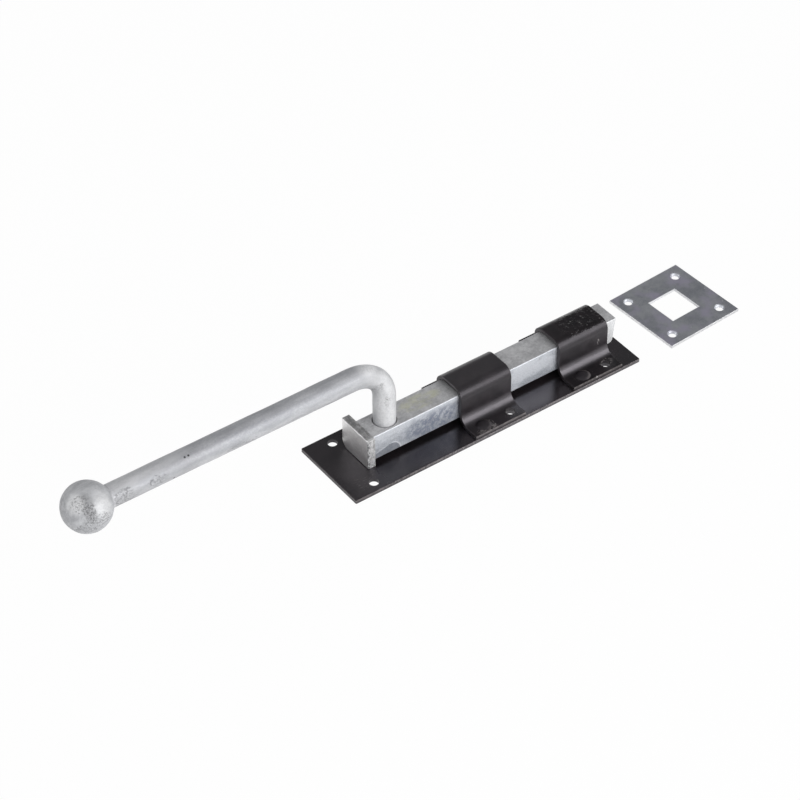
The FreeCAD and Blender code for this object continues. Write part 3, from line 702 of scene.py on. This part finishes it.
def end_plate_zinc():
    """Bright plate, darker at its foot as painted shade, with a scarred top, a painted
    highlight on its near top corner, and coarse light cut marks on its near side.
    """
    material, tree, output = start_material("end_plate_zinc")
    where, (x, y, z) = own_place(tree)
    layers = zinc_layers(tree, where, END_DARK, END_LIGHT, 10 * MM, rough_least=END_ROUGH_LEAST)
    colour, rough, relief = layers
    # Painted shade: the face darkens towards its foot.
    foot = band(tree, z, END_LOW.z + 13 * MM, END_LOW.z + 2 * MM)
    colour = two_colours(tree, times(tree, foot, 0.38), colour, END_FOOT_SHADE)
    near_side = band(tree, y, END_LOW.y + 0.9 * MM, END_LOW.y + 0.3 * MM)
    lumps = band(tree, noise(tree, where, 1.7 * MM, 4.0, 0.7, stretch=(1, 1, 1.6)), 0.36, 0.62)
    cut_colour = two_colours(tree, lumps, CUT_DARK, CUT_LIGHT)
    colour = two_colours(tree, times(tree, near_side, 0.8), colour, cut_colour)
    rear_edge = band(tree, x, END_LOW.x + 1.5 * MM, END_LOW.x + 0.6 * MM)
    burr = times(tree, rear_edge, near_side, band(tree, lumps, 0.75, 0.35), 0.85)
    colour = two_colours(tree, burr, colour, BURR_DARK)
    near_edge = band(tree, y, END_LOW.y + 2.6 * MM, END_LOW.y + 0.8 * MM)
    top = band(tree, z, END_HIGH.z - 0.35 * MM, END_HIGH.z - 0.1 * MM)
    scars = noise(tree, where, 2.2 * MM, 4.0, 0.7, stretch=(1, 2, 1), shift=(4, 4, 8))
    scars = sloped(tree, band(tree, scars, 0.36, 0.62), 0.45, 0.35)
    colour = two_colours(tree, times(tree, top, without(tree, near_edge), scars), colour, SCAR_DARK)
    # Painted highlight along the top of the near edge.
    corner_highlight = band(tree, z, END_HIGH.z - 0.9 * MM, END_HIGH.z - 0.3 * MM)
    colour = two_colours(tree, times(tree, near_edge, corner_highlight, 0.75), colour, CORNER_HIGHLIGHT)
    relief = bump(tree, times(tree, lumps, near_side), 0.35 * MM, relief)
    dimples = noise(tree, where, 3.5 * MM, 2.0, 0.5, shift=(2, 2, 2))
    relief = bump(tree, dimples, 0.08 * MM, relief)
    finish_metal(tree, output, colour, rough, relief, END_METAL)
    return material


plate_zinc = end_plate_zinc()
for node in ("bar_end_plate", "end_plate_back_weld", "end_plate_under_weld"):
    dress(node, plate_zinc)


# Weld under the neck
# The plug that fills the neck's hole from below; it was dressed flush where it
# runs out at the bar's side.
WELD_METAL = 0.6
WELD_DARK = (0.24, 0.255, 0.29, 1)
WELD_LIGHT = (0.38, 0.40, 0.44, 1)


def weld_zinc():
    """Ground weld under zinc, darker than the bar."""
    material, tree, output = start_material("weld_zinc")
    where = put(tree, "TexCoord").outputs["Object"]
    colour, rough, relief = zinc_layers(tree, where, WELD_DARK, WELD_LIGHT, 6 * MM)
    finish_metal(tree, output, colour, rough, relief, WELD_METAL)
    return material


dress("handle_plug_weld", weld_zinc())


# Handle rod
# A hot bent round bar under thick zinc: its surface is slightly wavy, with soft
# streaks, painted shade and painted highlights, a few rough spots and three dark specks on its arm.
ROD_LOW, ROD_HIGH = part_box("handle_rod")
ROD_RADIUS = 7.5 * MM
BEND_RADIUS = 25 * MM
NECK_X = ROD_HIGH.x - ROD_RADIUS
ARM_Z = ROD_HIGH.z - ROD_RADIUS
BALL_X = ROD_LOW.x
ROD_STEP = 0.6 * MM
ROD_AROUND = 96
ROD_WAVE = 0.09 * MM
ROD_WAVE_GAIN = 2.4
ROD_WAVE_SINK = 0.6
ROD_DENT = 26 * MM
ROD_RIPPLE = 9 * MM
ROD_DENT_SEED = 11
ROD_RIPPLE_SEED = 12
WAVE_COUNT = 12
ZINC_METAL = 0.42
ZINC_GREY = (0.34, 0.345, 0.36, 1)
ZINC_LIGHT = (0.59, 0.595, 0.61, 1)
PIT_DARK = (0.20, 0.20, 0.205, 1)
DOT_BLACK = (0.03, 0.03, 0.03, 1)
ROD_ROUGH_LEAST = 0.45
ARM_PITS = (
    ((-263, -6, 71), (10, 5, 7)),
    ((-239, -6, 72.5), (7, 5, 4)),
    ((-180, -7, 68), (14, 3, 4)),
    ((-80, -6, 62), (6, 4, 4)),
    ((-73, -6, 47), (3, 3, 5)),
)
# Painted shade and painted highlights on the rod: darker patches where it is shaded, lighter where lit; the
# dark patch at (-263, -6, 71) also darkens the pitted zone near the ball.
ARM_PAINTED_LIGHT_AND_SHADE = (
    ((-168, 2, 79), (80, 6.5, 5.5), (0.27, 0.275, 0.305, 1), 0.52),
    ((-182, -5.8, 75.8), (92, 3.2, 4.4), (0.25, 0.255, 0.28, 1), 0.66),
    ((-96, 3, 80), (14, 5, 4), (0.26, 0.265, 0.29, 1), 0.40),
    ((-86, -7, 71), (9, 3, 5), (0.30, 0.305, 0.32, 1), 0.35),
    ((-80, -1, 77), (10, 6, 4), (0.93, 0.93, 0.94, 1), 0.58),
    ((-263, -6, 71), (12, 7, 8), (0.38, 0.38, 0.39, 1), 0.5),
    ((-250, 1, 78.5), (30, 6, 4), (0.80, 0.80, 0.81, 1), 0.38),
    ((-220, -6, 75), (24, 4, 6), (0.32, 0.32, 0.335, 1), 0.45),
    ((-234, -7, 68), (18, 4, 5), (0.36, 0.365, 0.38, 1), 0.45),
    ((-72, -6, 44), (8, 7, 22), (0.95, 0.95, 0.95, 1), 0.42),
    ((-78, -6, 70), (10, 6, 8), (0.95, 0.95, 0.95, 1), 0.22),
)
ARM_DOTS = (
    ((-218.2, -4.0, 77.4), 0.7),
    ((-215.6, -4.0, 77.4), 0.7),
    ((-228, -7.0, 68.4), 0.7),
)


def waviness(points, span, seed):
    """A smooth random height: the mean of sine waves about span long that run in random directions."""
    chance = np.random.default_rng(seed)
    height = np.zeros(points.shape[:-1])
    for _ in range(WAVE_COUNT):
        direction = chance.normal(size=3)
        direction /= np.linalg.norm(direction)
        wave = span * chance.uniform(0.7, 1.8)
        height += np.sin(points @ direction * (2 * math.pi / wave) + chance.uniform(0, 2 * math.pi))
    return height / WAVE_COUNT


def handle_surface():
    """A circle carried up the neck, round the bend and out along the arm, its radius waving slightly.

    The attribute "straight" holds each point's place on the same rod before it was bent.
    """
    neck = ARM_Z - BEND_RADIUS - ROD_LOW.z
    bend = BEND_RADIUS * math.pi / 2
    arm = NECK_X - BEND_RADIUS - BALL_X
    along = np.linspace(0, neck + bend + arm, int((neck + bend + arm) / ROD_STEP))
    turned = np.clip((along - neck) / BEND_RADIUS, 0, math.pi / 2)
    risen = np.minimum(along, neck)
    run = np.maximum(along - neck - bend, 0)
    x = NECK_X - BEND_RADIUS * (1 - np.cos(turned)) - run
    z = ROD_LOW.z + risen + BEND_RADIUS * np.sin(turned)
    centre = np.stack([x, np.zeros_like(x), z], axis=-1)[:, None, :]
    angle = np.linspace(0, 2 * math.pi, ROD_AROUND, endpoint=False)
    out_x = np.cos(turned)[:, None] * np.cos(angle)
    out_z = np.sin(turned)[:, None] * np.cos(angle)
    out = np.stack([out_x, np.broadcast_to(np.sin(angle), out_x.shape), out_z], axis=-1)
    surface = centre + out * ROD_RADIUS
    dents = waviness(surface, ROD_DENT, ROD_DENT_SEED) * 0.7
    dents = dents + waviness(surface, ROD_RIPPLE, ROD_RIPPLE_SEED) * 0.3
    surface = centre + out * (ROD_RADIUS + ROD_WAVE * (dents[..., None] * ROD_WAVE_GAIN - ROD_WAVE_SINK))
    faces = grid_faces(len(along), ROD_AROUND).tolist()
    faces.append(list(range(ROD_AROUND))[::-1])
    faces.append(list(range((len(along) - 1) * ROD_AROUND, len(along) * ROD_AROUND)))
    piece = add_surface("handle", surface, faces)
    run_along = np.broadcast_to(along[:, None], out_x.shape)
    side = np.broadcast_to(np.sin(angle) * ROD_RADIUS, out_x.shape)
    over = np.broadcast_to(np.cos(angle) * ROD_RADIUS, out_x.shape)
    straight = np.stack([run_along, side, over], axis=-1).astype(np.float32)
    attribute = piece.data.attributes.new("straight", "FLOAT_VECTOR", "POINT")
    attribute.data.foreach_set("vector", straight.ravel())
    return piece


def handle_zinc(name, bent, rough_least, pit_zones, painted_light_and_shade, dots):
    """Thick mottled zinc, streaked along the bent rod where bent is set.

    Places and sizes are in mm.  Pits gather in zones (centre, reach); painted shade and highlights are soft
    patches (centre, reach, colour, strength) broken up by mottling; dark dots (centre, size) have set
    places.
    """
    material, tree, output = start_material(name)
    where, place = own_place(tree)
    pattern = where
    if bent:
        pattern = put(tree, "Attribute", attribute_name="straight").outputs["Vector"]
    streak = noise(tree, pattern, 3.2 * MM, 4.0, 0.6, stretch=(9, 1, 1), shift=(0.4, 0, 0))
    cloud = noise(tree, pattern, 8 * MM, 4.0, 0.6, stretch=(2.2, 1, 1))
    grain = noise(tree, pattern, 0.8 * MM, 4.0, 0.75, stretch=(1.6, 1, 1), shift=(5, 2, 9))
    share = sloped(tree, cloud, 0.42, times(tree, grain, 0.25))
    share = sloped(tree, streak, 0.33, share)
    colour = two_colours(tree, band(tree, share, 0.33, 0.67), ZINC_GREY, ZINC_LIGHT)
    mottle = band(tree, noise(tree, where, 1.5 * MM, 4.0, 0.7, shift=(6, 6, 1)), 0.36, 0.62)
    # Painted shade and painted highlights, patch by patch.
    for centre, reach, shade, strength in painted_light_and_shade:
        patch = oval(tree, place, in_metres(centre), in_metres(reach), 2.2, 0.0)
        patch = times(tree, patch, sloped(tree, mottle, 0.40 * strength, 0.60 * strength))
        colour = two_colours(tree, patch, colour, shade)
    rough = sloped(tree, cloud, 0.22, rough_least)
    spangles = noise(tree, pattern, 2.6 * MM, 3.0, 0.6, stretch=(1.8, 1, 1), shift=(3, 3, 3))
    relief = bump(tree, spangles, 0.10 * MM)
    relief = bump(tree, grain, 0.035 * MM, relief)
    pitted = 0.0
    for centre, reach in pit_zones:
        pitted = calc(tree, "MAXIMUM", pitted, oval(tree, place, in_metres(centre), in_metres(reach)))
    coarse = noise(tree, where, 1.2 * MM, 4.0, 0.75, shift=(8, 4, 2))
    pits = band(tree, calc(tree, "SUBTRACT", coarse, sloped(tree, pitted, 0.14, 0.30)), 0.05, -0.05)
    colour = two_colours(tree, times(tree, pits, 0.55), colour, PIT_DARK)
    relief = bump(tree, without(tree, pits), 0.16 * MM, relief)
    for centre, size in dots:
        dot = oval(tree, place, in_metres(centre), in_metres([size] * 3))
        colour = two_colours(tree, times(tree, dot, 0.9), colour, DOT_BLACK)
    finish_metal(tree, output, colour, rough, relief, ZINC_METAL)
    return material


handle = handle_surface()
rod_zinc = handle_zinc("handle_zinc", True, ROD_ROUGH_LEAST, ARM_PITS, ARM_PAINTED_LIGHT_AND_SHADE, ARM_DOTS)
handle.data.materials.append(rod_zinc)
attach(handle, "bolt")
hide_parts("handle_rod")


# Ball knob and its weld
# A forged ball, not quite round, pitted on its near side, with a small ring of
# weld between it and the arm.
BALL_LOW, BALL_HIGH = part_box("ball_knob")
BALL_RADIUS = (BALL_HIGH.z - BALL_LOW.z) / 2
BALL_POLE = 0.004
BALL_OVERLAP = 0.4 * MM
BALL_ROWS = 150
BALL_AROUND = 220
BALL_WAVE = 0.10 * MM
BALL_DENT = 15 * MM
BALL_SEED = 21
TURNED_WAVE_GAIN = 2.2
WELD_RISE = 1.3 * MM
WELD_RUN = 2.4 * MM
WELD_START = 0.5 * MM
WELD_DEPTH = 0.15 * MM
WELD_HOLLOW = 1.7
WELD_ROWS = 14
WELD_WAVE = 0.08 * MM
WELD_DENT = 5 * MM
WELD_SEED = 22
BALL_ROUGH_LEAST = 0.54
BALL_PITS = (
    ((-292, -7, 83), (6, 6, 6)),
    ((-288, -12, 79), (4, 5, 10)),
    ((-285, -15, 72), (10, 6, 5)),
    ((-292, -13, 68), (8, 6, 4)),
)
# Painted highlights (the light patches) and painted shade (the dark patches) on the ball.
BALL_PAINTED_LIGHT_AND_SHADE = (
    ((-288.5, -9.5, 82.0), (3.8, 6.0, 8.5), (0.20, 0.20, 0.205, 1), 0.62),
    ((-288.0, -12.5, 76.5), (3.2, 4.0, 5.0), (0.20, 0.20, 0.205, 1), 0.6),
    ((-294.0, -4.8, 82.5), (5.0, 5.5, 5.5), (0.95, 0.95, 0.95, 1), 0.52),
    ((-278.5, -12.5, 80.0), (6.0, 6.0, 8.0), (0.74, 0.74, 0.74, 1), 0.5),
)


def turned_surface(name, x, radius, wave, dent, seed):
    """A profile turned about the arm's axis, waving slightly towards the ball's middle."""
    angle = np.linspace(0, 2 * math.pi, BALL_AROUND, endpoint=False)
    out = np.stack([np.zeros_like(angle), np.cos(angle), np.sin(angle)], axis=-1)[None, :, :]
    axis = np.stack([x, np.zeros_like(x), np.full_like(x, ARM_Z)], axis=-1)[:, None, :]
    surface = axis + out * radius[:, None, None]
    away = surface - np.array([BALL_X, 0, ARM_Z])
    away = away / np.linalg.norm(away, axis=-1, keepdims=True)
    height = waviness(surface, dent, seed)[..., None] * TURNED_WAVE_GAIN - 1.0
    surface = surface + away * height * wave
    faces = grid_faces(len(x), BALL_AROUND)[:, ::-1].tolist()
    faces.append(list(range(BALL_AROUND)))
    faces.append(list(range((len(x) - 1) * BALL_AROUND, len(x) * BALL_AROUND))[::-1])
    return add_surface(name, surface, faces)


def ball_surface():
    """A sphere from its far pole to where the arm goes in: cosine along the axis, sine for the radius."""
    stop = math.pi - math.asin((ROD_RADIUS - BALL_OVERLAP) / BALL_RADIUS)
    turn = np.linspace(BALL_POLE, stop, BALL_ROWS)
    x = BALL_X - BALL_RADIUS * np.cos(turn)
    return turned_surface("ball", x, BALL_RADIUS * np.sin(turn), BALL_WAVE, BALL_DENT, BALL_SEED)


def weld_ring():
    """A hollow curve from the ball's surface down to the arm's: its rise is a power of the run left."""
    foot = math.sqrt(BALL_RADIUS ** 2 - (ROD_RADIUS + WELD_RISE) ** 2)
    share = np.linspace(0, 1, WELD_ROWS)
    x = BALL_X + foot - WELD_START + (WELD_RUN + WELD_START) * share
    radius = ROD_RADIUS - WELD_DEPTH + (WELD_RISE + WELD_DEPTH) * (1 - share) ** WELD_HOLLOW
    return turned_surface("ball_weld", x, radius, WELD_WAVE, WELD_DENT, WELD_SEED)


ball_zinc = handle_zinc("ball_zinc", False, BALL_ROUGH_LEAST, BALL_PITS, BALL_PAINTED_LIGHT_AND_SHADE, ())
for piece, node in ((ball_surface(), "ball_knob"), (weld_ring(), "knob_weld")):
    piece.data.materials.append(ball_zinc)
    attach(piece, "bolt")
    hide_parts(node)


# Receiver plate
# A thin square plate with a punched hole for the nose, dark blue-grey zinc,
# countersunk for four screws.  It lies loose ahead of the bolt, turned a little.
RECEIVER_LOW, RECEIVER_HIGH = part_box("receiver_plate")
RECEIVER_TURN = math.radians(3.0)
RECEIVER_HALF = 30.5 * MM
RECEIVER_HOLE_HALF = 12.05 * MM
RECEIVER_SCREW = 21.5 * MM
COUNTERSINK_RADIUS = 3.6 * MM
RECEIVER_ROUGH_LEAST = 0.36
RECEIVER_DARK = (0.215, 0.225, 0.25, 1)
RECEIVER_LIGHT = (0.34, 0.35, 0.37, 1)
RECEIVER_VIOLET = (0.34, 0.325, 0.40, 1)
RECEIVER_MARK = (0.85, 0.85, 0.87, 1)
# Painted light: a reflection in the countersinks and highlights on the hole's wall and the outer sides.
SINK_REFLECTION = (0.78, 0.80, 0.85, 1)
HOLE_WALL_HIGHLIGHT = (0.95, 0.95, 0.96, 1)
SIDE_HIGHLIGHT = (0.74, 0.74, 0.75, 1)


def receiver_place(tree, where):
    """The distances from the plate's middle along its own two sides, which lie turned."""
    middle_x = (RECEIVER_LOW.x + RECEIVER_HIGH.x) / 2
    middle_y = (RECEIVER_LOW.y + RECEIVER_HIGH.y) / 2
    centred = put(tree, "Mapping", {"Vector": where, "Location": (-middle_x, -middle_y, 0)}).outputs[0]
    own = put(tree, "VectorRotate", {"Vector": centred, "Angle": -RECEIVER_TURN}, rotation_type="Z_AXIS")
    split = put(tree, "SeparateXYZ", {0: own.outputs[0]})
    return calc(tree, "ABSOLUTE", split.outputs[0]), calc(tree, "ABSOLUTE", split.outputs[1])


def receiver_zinc():
    """Dark plating with violet clouds and light marks; painted highlights on the outer sides and hole
    walls, and painted reflections in the countersinks.
    """
    material, tree, output = start_material("receiver_zinc")
    where = put(tree, "TexCoord").outputs["Object"]
    least = RECEIVER_ROUGH_LEAST
    layers = zinc_layers(tree, where, RECEIVER_DARK, RECEIVER_LIGHT, 18 * MM, rough_least=least)
    colour, rough, relief = layers
    violet = band(tree, noise(tree, where, 13 * MM, 3.0, 0.55, shift=(4, 9, 1)), 0.44, 0.68)
    colour = two_colours(tree, times(tree, violet, 0.9), colour, RECEIVER_VIOLET)
    marks = specks(tree, where, 7 * MM, 0.55 * MM, 0.40)
    colour = two_colours(tree, times(tree, marks, 0.7), colour, RECEIVER_MARK)
    along, across = receiver_place(tree, where)
    rubbed = band(tree, noise(tree, where, 2.4 * MM, 3.0, 0.6, shift=(1, 5, 5)), 0.34, 0.60)
    screw_along = calc(tree, "SUBTRACT", along, RECEIVER_SCREW)
    screw_across = calc(tree, "SUBTRACT", across, RECEIVER_SCREW)
    from_screw = length(tree, screw_along, screw_across)
    # Painted reflection in each countersink, patchy where rubbed.
    sink = band(tree, from_screw, COUNTERSINK_RADIUS, COUNTERSINK_RADIUS - 1.0 * MM)
    sink = times(tree, sink, sloped(tree, rubbed, 0.60, 0.35))
    colour = two_colours(tree, sink, colour, SINK_REFLECTION)
    furthest = calc(tree, "MAXIMUM", along, across)
    # Painted highlight on the hole's wall.
    wall = band(tree, furthest, RECEIVER_HOLE_HALF + 0.3 * MM, RECEIVER_HOLE_HALF + 0.1 * MM)
    colour = two_colours(tree, times(tree, wall, 0.6), colour, HOLE_WALL_HIGHLIGHT)
    # Painted highlight on the outer sides, patchy where rubbed.
    outside = band(tree, furthest, RECEIVER_HALF - 0.35 * MM, RECEIVER_HALF - 0.1 * MM)
    wear_and_highlight = times(tree, outside, sloped(tree, rubbed, 0.35, 0.65))
    colour = two_colours(tree, wear_and_highlight, colour, SIDE_HIGHLIGHT)
    finish_metal(tree, output, colour, rough, relief, sloped(tree, outside, 0.4, 0.6))
    return material


dress("receiver_plate", receiver_zinc())
